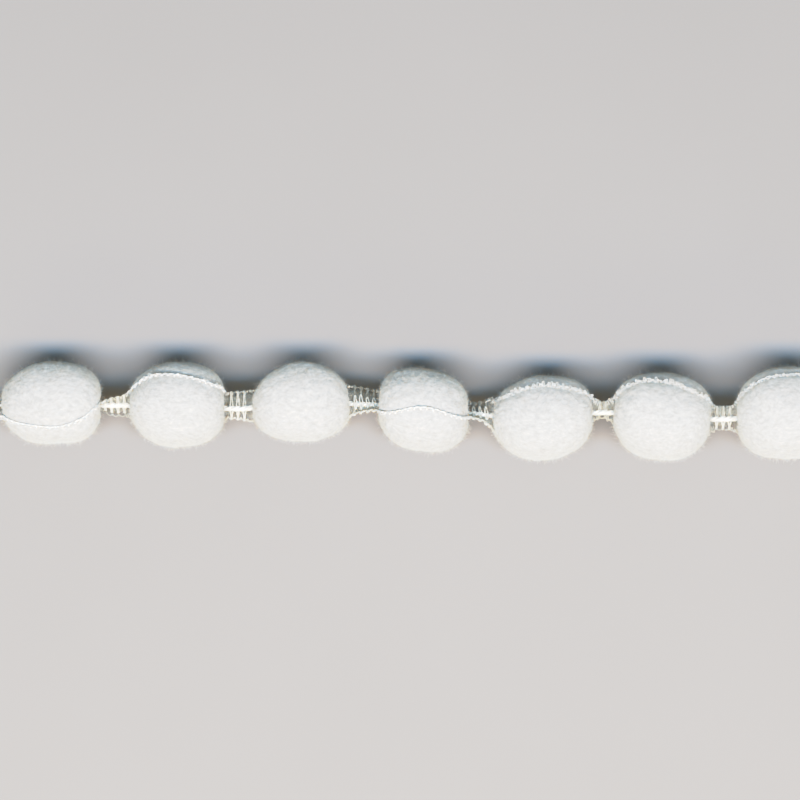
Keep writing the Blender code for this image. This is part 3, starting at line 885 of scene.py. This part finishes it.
# How far the middle of a chain stands out of the slope on each ball. Where it is pulled tight it sinks in.
CHAIN_STAND = {"a": (0.12, 0.11, -0.14, 0.0, -0.02, 0.0, -0.08),
               "b": (0.0, -0.12, -0.14, 0.12, -0.18, -0.14, -0.14)}
OPEN_END = 0.3                 # the chains' knots and the cord's cut ends stay this far inside a stretch
EDGE_KNOTS = (6, 15)           # knots in an open stretch and in a valley
EDGE_STEP = 0.1
CURVE_CUTS = 16


def braid_reach(index, side, x):
    """Distance of an edge chain from the cord: even, with a flare to the power 4 near each ball."""
    start, stop = braid_span(index)
    row = BRAIDS[index]
    share = np.abs(2 * (x - start) / (stop - start) - 1)
    ball_near = np.where(x < 0.5 * (start + stop), index > 0, index < len(POMPOMS))
    return row[side + "_reach"] + (FLARE_REACH[side] - row[side + "_reach"]) * share ** 4 * ball_near


def edge_knots(side):
    """Knots of a whole edge chain, left to right: open braid, valley, open braid and so on."""
    knots = []
    for index in range(len(BRAIDS)):
        start, stop = braid_span(index)
        x = np.linspace(start + OPEN_END, stop - OPEN_END, EDGE_KNOTS[0])
        knots.append(line_at(x) + braid_reach(index, side, x)[:, None] * outward(turn_at(side, x)))
        if index < len(POMPOMS):
            ball = POMPOMS[index]
            slant = np.radians(np.linspace(-VALLEY_SLANT, VALLEY_SLANT, EDGE_KNOTS[1]))
            turn = turn_at(side, ball["x"] + place_along(ball, slant))
            knots.append(pile_points(index, slant, turn, CHAIN_STAND[side][index], groove=False))
    return np.vstack(knots)


def fine_path(knots, step):
    """Points a step apart on a Catmull-Rom curve through the knots, and the run up to each."""
    ends = np.vstack([2 * knots[0] - knots[1], knots, 2 * knots[-1] - knots[-2]])
    before, start, stop, after = (ends[i:len(ends) - 3 + i, None] for i in range(4))
    t = np.linspace(0.0, 1.0, CURVE_CUTS, endpoint=False)[None, :, None]
    fine = (start + 0.5 * t * (stop - before) + t ** 2 * (before - 2.5 * start + 2 * stop - 0.5 * after)
            + t ** 3 * (1.5 * (start - stop) + 0.5 * (after - before))).reshape(-1, 3)
    fine = np.vstack([fine, knots[-1:]])
    run = np.concatenate([[0.0], np.cumsum(np.linalg.norm(np.diff(fine, axis=0), axis=1))])
    places = np.linspace(0.0, run[-1], int(run[-1] / step) + 1)
    return np.column_stack([np.interp(places, run, fine[:, axis]) for axis in range(3)]), places


def follow(path, places, at):
    """Points of a path at distances along it, and the directions beside it and out there."""
    ahead = unit(np.gradient(path, axis=0))
    out = path - line_at(path[:, 0])
    out = unit(out - ahead * np.sum(out * ahead, axis=1, keepdims=True))
    beside = np.cross(ahead, out)
    return [np.stack([np.interp(at, places, rows[:, axis]) for axis in range(3)], axis=-1)
            for rows in (path, beside, out)]


EDGES = {side: fine_path(edge_knots(side), EDGE_STEP) for side in "ab"}
print("edge chains in mm:", {side: round(places[-1], 1) for side, (path, places) in EDGES.items()})

# %% [markdown]
# ## Crochet stitches
#
# A chain stitch is a yarn that goes up one leg, round a head, down the other leg and on behind to
# the next stitch, which comes out through it. It could be drawn by hand as a curve and repeated.
# Three sines give the same interlocked loops, and they bend with the path by themselves. On some
# balls the yarn is pulled so tight that its two plies close up.

# %% Chain stitches
PLY = (0.052, 0.046)         # radius of a ply, and how far it lies from the middle of its yarn
PLY_LAY = 0.62               # mm of yarn in which its two plies go once round
SMOOTH_RADIUS = 0.135        # radius of the same yarn where it is pulled smooth over a ball
CHAIN_HALF_WIDTH = 0.13
CHAIN_HALF_DEPTH = {"smooth": 0.07, "loose": 0.15}
CHAIN_DOWN = {"smooth": 4, "loose": 7}             # fine fibres at each point of the chain
CHAIN_LIFT = 0.01            # the yarn keeps this far above the surface
HEAD_SWING = 0.6             # how far a stitch's head goes on into the next, as a share of the pitch
HEAD_WIDENING = 0.35
POINTS_PER_STITCH = 12


def chain_stitches(side, first, last, pitch, pull):
    """The yarn of stitches first to last of an edge chain, pulled smooth or as two loose plies.

    An angle turns once a stitch, and its bulge is half of (1 - cosine). Along = pitch * (angle / turn +
    swing * bulge), across = -half width * sine * (1 + widening * bulge), and up = -half depth * cosine of
    twice the angle.
    """
    path, places = EDGES[side]
    count = (last - first) * POINTS_PER_STITCH
    angle = 2 * math.pi * (first + np.arange(count + 1) / POINTS_PER_STITCH)
    bulge = 0.5 * (1 - np.cos(angle))
    along = np.clip(pitch * (angle / (2 * math.pi) + HEAD_SWING * bulge), 0.0, places[-1])
    spot, beside, out = follow(path, places, along)
    across = -CHAIN_HALF_WIDTH * np.sin(angle) * (1 + HEAD_WIDENING * bulge)
    up = -CHAIN_HALF_DEPTH[pull] * np.cos(2 * angle)
    yarn = (spot + across[:, None] * beside + up[:, None] * out)[None]
    yarn[..., 2] = np.maximum(yarn[..., 2], SMOOTH_RADIUS + CHAIN_LIFT)
    radius, offset = PLY
    if pull == "smooth":
        strands, thick = yarns(yarn, out[None], SMOOTH_RADIUS, 6), SMOOTH_RADIUS
    else:
        strands, thick = yarns(plies(yarn, out[None], offset, PLY_LAY), out[None], radius, 4), radius + offset
    return strands + yarn_down(yarn, thick, CHAIN_DOWN[pull] * count, SEEDS["chain_down"] + first)


def stitch_numbers(side, start, stop):
    """First and last stitch of an edge chain whose middle lies between two places along x."""
    path, places = EDGES[side]
    count = round(places[-1] / STITCH)
    pitch = places[-1] / count
    middle = np.interp((np.arange(count) + 0.5) * pitch, places, path[:, 0])
    inside = np.flatnonzero((middle >= start) & (middle < stop))
    return inside[0], inside[-1] + 1, pitch


print("stitches in each chain:", {side: round(places[-1] / STITCH) for side, (path, places) in EDGES.items()})

# %% [markdown]
# ### The small loops
#
# Where a chain turns back over a ball, small loops of its yarn stand out of it, evenly along it, with
# their feet hidden in the pile. Copies of one loop would look stamped. So one loop of ten points is laid
# flat, and each copy has its own size, width and lean.

# %% Turning loops
LOOP_RADIUS = 0.048
LOOP_JITTER = 0.3            # how far a loop is off its even place, as a share of the spacing
LOOP_WIDTHS = (0.5, 1.0)     # narrowest and widest, as a share of the width drawn below
LOOP_SPREAD = (0.45, 1.25)   # shortest and longest, as a share of the size on its ball
LOOP_LEAN_SPREAD = 0.45
LOOPS_PER_STITCH = (2.6, 2.2, 2, 2.4, 2.5, 2.4, 2)
LOOP_SIZES = (1.15, 1.05, 0.40, 0.95, 1.55, 1.35, 0.90)    # ball by ball, some are pulled out further
LOOP_LEANS = (0.0, 0.0, 0.0, 0.0, -0.9, -0.5, -0.2)          # and some lean over to their outer side
# The small loop that stands out past a chain: (out, along) of its points, feet in the pile.
LOOP_POINTS = np.array([(-0.30, -0.16), (-0.05, -0.10), (0.12, -0.16), (0.27, -0.18), (0.38, -0.08),
                        (0.38, 0.08), (0.27, 0.18), (0.12, 0.16), (-0.05, 0.10), (-0.30, 0.16)])


def turning_loops(side, index):
    """The loops that stand out of an edge chain over one ball, evenly spaced from rung to rung.

    A point = the path's point + its height * the loop's size * the direction of (out + lean * beside).
    """
    path, places = EDGES[side]
    start, stop = rung_places(index)[-1], rung_places(index + 1)[0]
    start, stop = np.interp([start, stop], path[:, 0], places)
    count = round((stop - start) / STITCH * LOOPS_PER_STITCH[index])
    draw = np.random.default_rng(SEEDS["loops"] + 10 * index + ord(side))
    off = draw.uniform(-LOOP_JITTER, LOOP_JITTER, count - 1)
    middles = start + (stop - start) * (np.arange(1, count) + off) / count
    size = LOOP_SIZES[index] * draw.uniform(*LOOP_SPREAD, (len(middles), 1))
    at = middles[:, None] + LOOP_POINTS[None, :, 1] * draw.uniform(*LOOP_WIDTHS, (len(middles), 1))
    spot, beside, out = follow(path, places, at)
    lean = draw.normal(LOOP_LEANS[index], LOOP_LEAN_SPREAD, (len(middles), 1, 1))
    height = LOOP_POINTS[None, :, 0, None] * size[..., None]
    paths = spot + height * unit(out + lean * beside)
    return yarns(paths, beside, LOOP_RADIUS, 4)


RUNG_ROOM = 0.21             # a stretch needs this much more than its stitches' length


def rung_places(index):
    """Places along x of the rungs in one stretch of open braid, evenly about its middle."""
    start, stop = braid_span(index)
    count = max(2, round((stop - start - 2 * OPEN_END - RUNG_ROOM) / STITCH))
    return 0.5 * (start + stop) + STITCH * (np.arange(count) - 0.5 * (count - 1))


print("rungs in each stretch:", [len(rung_places(index)) for index in range(len(BRAIDS))])

# %% [markdown]
# ### The chains over the balls
#
# Over a ball the same chain goes on in its valley in the pile. It could be one piece from end to end.
# It is cut where a ball starts and ends, so that each part stands in for a solid of its own. Where it
# lies free on top, in the light, it is whiter and glossy, and where it sinks in or runs under the ball it
# is plainer. The gloss is real, and the extra white is painted highlight.

# %% Stitches over the balls
# Painted highlight: on these balls the chain gets the whiter stitch yarn, because it lies on top in the
# light.
CHAINS_PAINTED_HIGHLIGHT = {"a": (0, 1, 4, 5, 6), "b": (3,)}    # balls where a chain lies free on the pile
SMOOTH_CHAINS = {"a": (0, 1), "b": (3,)}            # and where it is pulled so tight that its plies close up
stitch_faces = []
for index, ball in enumerate(POMPOMS):
    for side in "ab":
        first, last, pitch = stitch_numbers(side, ball["x"] - ball["half_length"],
                                            ball["x"] + ball["half_length"])
        pull = "smooth" if index in SMOOTH_CHAINS[side] else "loose"
        # Painted light: whiter yarn where the chain lies on top in the light, plainer yarn where it is in
        # shade.
        finish = STITCH_YARN_PAINTED_HIGHLIGHT if index in CHAINS_PAINTED_HIGHLIGHT[side] else RUNG_YARN
        parts = chain_stitches(side, first, last, pitch, pull) + turning_loops(side, index)
        stitch_faces.append(add_piece(f"stitches_{side}_{index + 1}", parts, finish,
                                      [f"chain_{side}_{index + 1}"]))
print("triangles in the stitches over the balls:", sum(stitch_faces))

# %% [markdown]
# ## The open braid
#
# A rung is one yarn that goes from the cord out to an edge chain, turns in a small loop and comes back,
# and then does the same on the other side. A whole rung could be one curve, but the two sides of the
# braid fold differently from place to place. So each side is a closed ring of yarn of its own, and the
# cord hides where the two meet. A ring is laid out flat as eleven points and then folded along the cord
# like the braid. On two stretches the yarn crosses in front of the cord, and short loops laid over it
# show that.

# %% Rungs
RUNG_PLY = (0.078, 0.066)       # radius of a ply, and how far it lies from the middle of its yarn
RUNG_UP = np.array([1.0, 0.05, 0.0])
RUNG_DOWN = 65                  # fine fibres on each ring
# One side of a rung laid flat: (share of the reach, mm beyond it, mm in front, mm along).
RUNG_POINTS = np.array([
    (0.0, 0.10, -0.30, -0.12), (0.0, 0.42, 0.08, -0.18), (0.6, 0.0, 0.06, -0.09), (1.0, 0.0, 0.05, -0.05),
    (1.0, 0.16, 0.02, -0.11), (1.0, 0.24, 0.0, 0.0), (1.0, 0.16, -0.02, 0.11),
    (1.0, 0.0, -0.03, 0.05), (0.6, 0.0, -0.04, 0.09), (0.0, 0.42, -0.08, 0.18), (0.0, 0.10, -0.42, 0.12),
])
RUNG_CUTS = 3
SHORT_RUNGS = {("b", 1): 0.62, ("b", 6): 0.9}      # share of the way to the chain that these go
BACK_UP = (3, 4)                # stretches that lie with the yarn's crossings uppermost
CORD_BLEND = 0.9                # mm from the cord within which the two sides share their face
# The loop in which a rung's yarn crosses the cord: (side, mm from the cord, mm in front, mm along).
WRAP_POINTS = np.array([
    (1, 1.50, 0.02, 0.02), (1, 0.90, 0.22, -0.13), (1, 0.10, 0.46, -0.10), (-1, 0.65, 0.24, -0.02),
    (-1, 1.15, 0.05, 0.12), (-1, 0.65, 0.12, 0.26), (1, 0.10, 0.44, 0.24), (1, 0.90, 0.14, 0.15),
])
# No two rungs or crossings are alike: shares of their width along the braid and of their reach, and a shift.
RUNG_WIDTHS, RUNG_REACHES = (0.85, 1.15), (0.9, 1.15)
WRAP_WIDTHS, WRAP_REACHES, WRAP_SHIFT = (0.8, 1.2), (0.8, 1.15), 0.06


def closed_curve(knots, cuts):
    """A closed Catmull-Rom curve through rows of knots, with so many points from knot to knot."""
    before, after, beyond = np.roll(knots, 1, axis=1), np.roll(knots, -1, axis=1), np.roll(knots, -2, axis=1)
    t = (np.arange(cuts) / cuts)[None, None, :, None]
    before, start, stop, beyond = (part[:, :, None] for part in (before, knots, after, beyond))
    fine = (start + 0.5 * t * (stop - before) + t ** 2 * (before - 2.5 * start + 2 * stop - 0.5 * beyond)
            + t ** 3 * (1.5 * (start - stop) + 0.5 * (beyond - before)))
    return fine.reshape(len(knots), -1, 3)


def folded(x, distance, front, is_a):
    """Points of a stretch folded along the cord: at x, a distance away on one side, and in front of it.

    A point = cord + away from it along its side's direction + in front along that side's face. Near
    the cord the two sides' faces are blended to their shared one.
    """
    cord = line_at(x)
    away = {name: outward(turn_at(name, x)) for name in "ab"}
    face = {name: hand * np.cross(away[name], [1.0, 0.0, 0.0]) for name, hand in (("a", -1), ("b", 1))}
    shared = unit(face["a"] + face["b"])
    near = np.clip(1.0 - distance / CORD_BLEND, 0.0, 1.0)[..., None]
    is_a = is_a[..., None]
    facing = unit(near * shared + (1 - near) * np.where(is_a, face["a"], face["b"]))
    return cord + distance[..., None] * np.where(is_a, away["a"], away["b"]) + front[..., None] * facing


def twisted_rings(paths, seed):
    """Two-ply yarn with its down along closed paths."""
    radius, offset = RUNG_PLY
    twisted = plies(paths, RUNG_UP, offset, PLY_LAY, closed=True)
    return (yarns(twisted, RUNG_UP, radius, 5, closed=True)
            + yarn_down(paths, radius + offset, RUNG_DOWN * len(paths), seed))


def rungs(side, index):
    """The rungs of one stretch on one side: flat rings folded along the cord.

    A point's distance from the cord = its share of the reach + the mm beyond it.
    """
    draw = np.random.default_rng(SEEDS["rungs"] + 10 * index + ord(side))
    places = rung_places(index)[:, None]
    share, beyond, front, along = RUNG_POINTS.T
    x = places + along * draw.uniform(*RUNG_WIDTHS, (len(places), 1))
    reach = SHORT_RUNGS.get((side, index), 1.0) * braid_reach(index, side, places)
    distance = share * reach + beyond * draw.uniform(*RUNG_REACHES, (len(places), 1))
    front = (-front if index in BACK_UP else front) + np.zeros_like(x)
    knots = folded(x, distance, front, np.full(x.shape, side == "a"))
    return twisted_rings(closed_curve(knots, RUNG_CUTS), SEEDS["rung_down"] + 10 * index + ord(side))


def wraps(index):
    """The crossings of one stretch: short loops that lie over the cord and reach out on both sides."""
    draw = np.random.default_rng(SEEDS["wraps"] + index)
    places = rung_places(index)[:, None]
    side, away, front, along = WRAP_POINTS.T
    x = places + along * draw.uniform(*WRAP_WIDTHS, (len(places), 1))
    x = x + draw.uniform(-WRAP_SHIFT, WRAP_SHIFT, (len(places), 1))
    away = away * draw.uniform(*WRAP_REACHES, (len(places), 1))
    knots = folded(x, away, front + np.zeros_like(x), np.broadcast_to(side > 0, x.shape))
    return twisted_rings(closed_curve(knots, RUNG_CUTS), SEEDS["wrap_down"] + index)


print("points in one ring:", RUNG_CUTS * len(RUNG_POINTS))

# %% [markdown]
# ### The fine loose threads
#
# The real braid isn't a clean net. Fine threads that have come loose fill its holes. A grey sheet
# would hide the cord's depth, so the threads are real: short arcs at random, laid mostly across the
# braid and a little behind its rungs. Their dull grey is painted shade, where the holes lie in shade.
# Here it is also set how much shade is painted into each part of the braid, most of it on the a side,
# which mostly lies turned away from the lamps.

# %% Fine threads
GROUND_THREADS = {"a": 36, "b": 20}    # fine threads a millimetre of open braid, on each side of the cord
GROUND_RADIUS = 0.042
THREAD_STARTS = (0.05, 0.5)            # where a thread starts and ends, as shares of the way to the chain
THREAD_ENDS = (0.55, 1.02)
THREAD_LEAN = 0.30                     # mm that most threads lean along the braid
THREAD_BEND = 0.12                     # and mm that most of them bend
THREAD_DEPTHS = (0.05, 0.32)           # mm that it lies behind the rungs
PAST_END = 0.2                         # mm that the threads go on into a ball
FULL_STRETCHES = {("a", 5): 1.85, ("a", 6): 2.0}   # mm that the threads go where they fill more
# How much shade is painted into each stretch's edge chain, rungs and threads: 0 dull, 1 fair, 2 bright.
PAINTED_SHADE_STEPS = {"a": ((1, 1, 0), (2, 2, 1), (1, 1, 0), (0, 0, 0), (0, 0, 0), (1, 1, 1), (1, 1, 1), (1, 1, 0)),
             "b": ((2, 2, 1), (1, 2, 1), (2, 2, 1), (2, 2, 2), (2, 2, 2), (2, 2, 1), (1, 2, 1), (1, 2, 1))}


def ground_threads(side, index):
    """Fine loose threads that fill the holes behind the rungs: short arcs laid mostly across the braid.

    Each goes from a start to an end at even steps of its way. Along the braid it is at its middle +
    lean * (share of its way - a half) + bend * sine of half a turn times that share.
    """
    draw = np.random.default_rng(SEEDS["threads"] + 10 * index + ord(side))
    start, stop = braid_span(index)
    start += OPEN_END if index == 0 else -PAST_END
    stop -= OPEN_END if index == len(POMPOMS) else -PAST_END
    count = int(GROUND_THREADS[side] * (stop - start))
    share = np.linspace(0.0, 1.0, 4)
    first, last = draw.uniform(*THREAD_STARTS, (count, 1)), draw.uniform(*THREAD_ENDS, (count, 1))
    middle = draw.uniform(start + 0.5 * PAST_END, stop - 0.5 * PAST_END, (count, 1))
    lean = draw.normal(0.0, THREAD_LEAN, (count, 1))
    x = middle + lean * (share - 0.5) + draw.normal(0.0, THREAD_BEND, (count, 1)) * np.sin(math.pi * share)
    reach = np.maximum(braid_reach(index, side, middle), FULL_STRETCHES.get((side, index), 0.0))
    distance = (first + (last - first) * share) * reach
    front = -draw.uniform(*THREAD_DEPTHS, (count, 1)) + np.zeros_like(share)
    paths = folded(x, distance, front, np.full(x.shape, side == "a"))
    return yarns(paths, outward(turn_at(side, x)) + [1.0, 0.0, 0.0], GROUND_RADIUS, 3)


print("threads a millimetre:", GROUND_THREADS)

# %% [markdown]
# ### The middle cord
#
# The cord is three smooth strands twisted together, and it is the brightest line of the braid. A
# cylinder with a striped bump would look flat from the side, so the three strands are real: each
# goes round the middle line on its own screw line.

# %% The cord's strands
CORD_STRANDS = 3
STRAND_RADIUS = 0.235
STRAND_OFFSET = 0.19
CORD_LAY = 2.85          # mm in which a strand goes once round
CORD_STEP = 0.11
CORD_IN_BALL = 0.35      # mm that the cord goes on into a ball


def cord_strands(index):
    """Screw lines: the middle line plus offset times (sine, cosine) of the turn of each strand."""
    start, stop = braid_span(index)
    start += -CORD_IN_BALL if index > 0 else OPEN_END
    stop += CORD_IN_BALL if index < len(POMPOMS) else -OPEN_END
    x = np.linspace(start, stop, int((stop - start) / CORD_STEP))
    turn = 2 * math.pi * (x[None] / CORD_LAY + np.arange(CORD_STRANDS)[:, None] / CORD_STRANDS)
    centre = np.broadcast_to(line_at(x), (CORD_STRANDS, len(x), 3))
    paths = centre + STRAND_OFFSET * outward(turn)
    return yarns(paths, outward(turn), STRAND_RADIUS, 8)


print("cord:", CORD_STRANDS, "strands,", round(2 * (STRAND_RADIUS + STRAND_OFFSET), 2), "mm thick")

# %% [markdown]
# ### Putting the open braid together
#
# Every stretch is two edge chains, the rungs and the loose threads of each side, and the cord. It could
# be one mesh, but separate pieces can have whites of their own, with more or less painted shade. All of
# them together stand in the place of that stretch's solid.

# %% The pieces of the open braid
# Painted shade: each part of the braid gets the dull, the fair or the bright yarn by the shade it lies in.
PAINTED_SHADE_FINISHES = (DARK_YARN_PAINTED_DEEP_SHADE, GREY_YARN_PAINTED_SHADE, RUNG_YARN)
braid_faces = []
for index in range(len(BRAIDS)):
    start, stop = braid_span(index)
    name = [f"ladder_{index + 1}"]
    for side in "ab":
        first, last, pitch = stitch_numbers(side, start, stop)
        edge, rung, ground = (PAINTED_SHADE_FINISHES[white] for white in PAINTED_SHADE_STEPS[side][index])
        chain = chain_stitches(side, first, last, pitch, "loose")
        braid_faces.append(add_piece(f"edge_{side}_{index + 1}", chain, edge, name))
        braid_faces.append(add_piece(f"rungs_{side}_{index + 1}", rungs(side, index), rung, name))
        braid_faces.append(add_piece(f"ground_{side}_{index + 1}", ground_threads(side, index), ground,
                                     name))
    braid_faces.append(add_piece(f"cord_{index + 1}", cord_strands(index), CORD_YARN, name))
    if index in BACK_UP:
        braid_faces.append(add_piece(f"wraps_{index + 1}", wraps(index), CORD_YARN, name))
print("triangles in the open braid:", sum(braid_faces))

# %% [markdown]
# ## The number of triangles
#
# Clipped pile and yarn stand a little past the solids. At the end the triangles of all the pieces are added
# up.

# %% Triangles and the end
print("triangles in all:", sum(fibre_faces) + sum(stitch_faces) + sum(braid_faces))
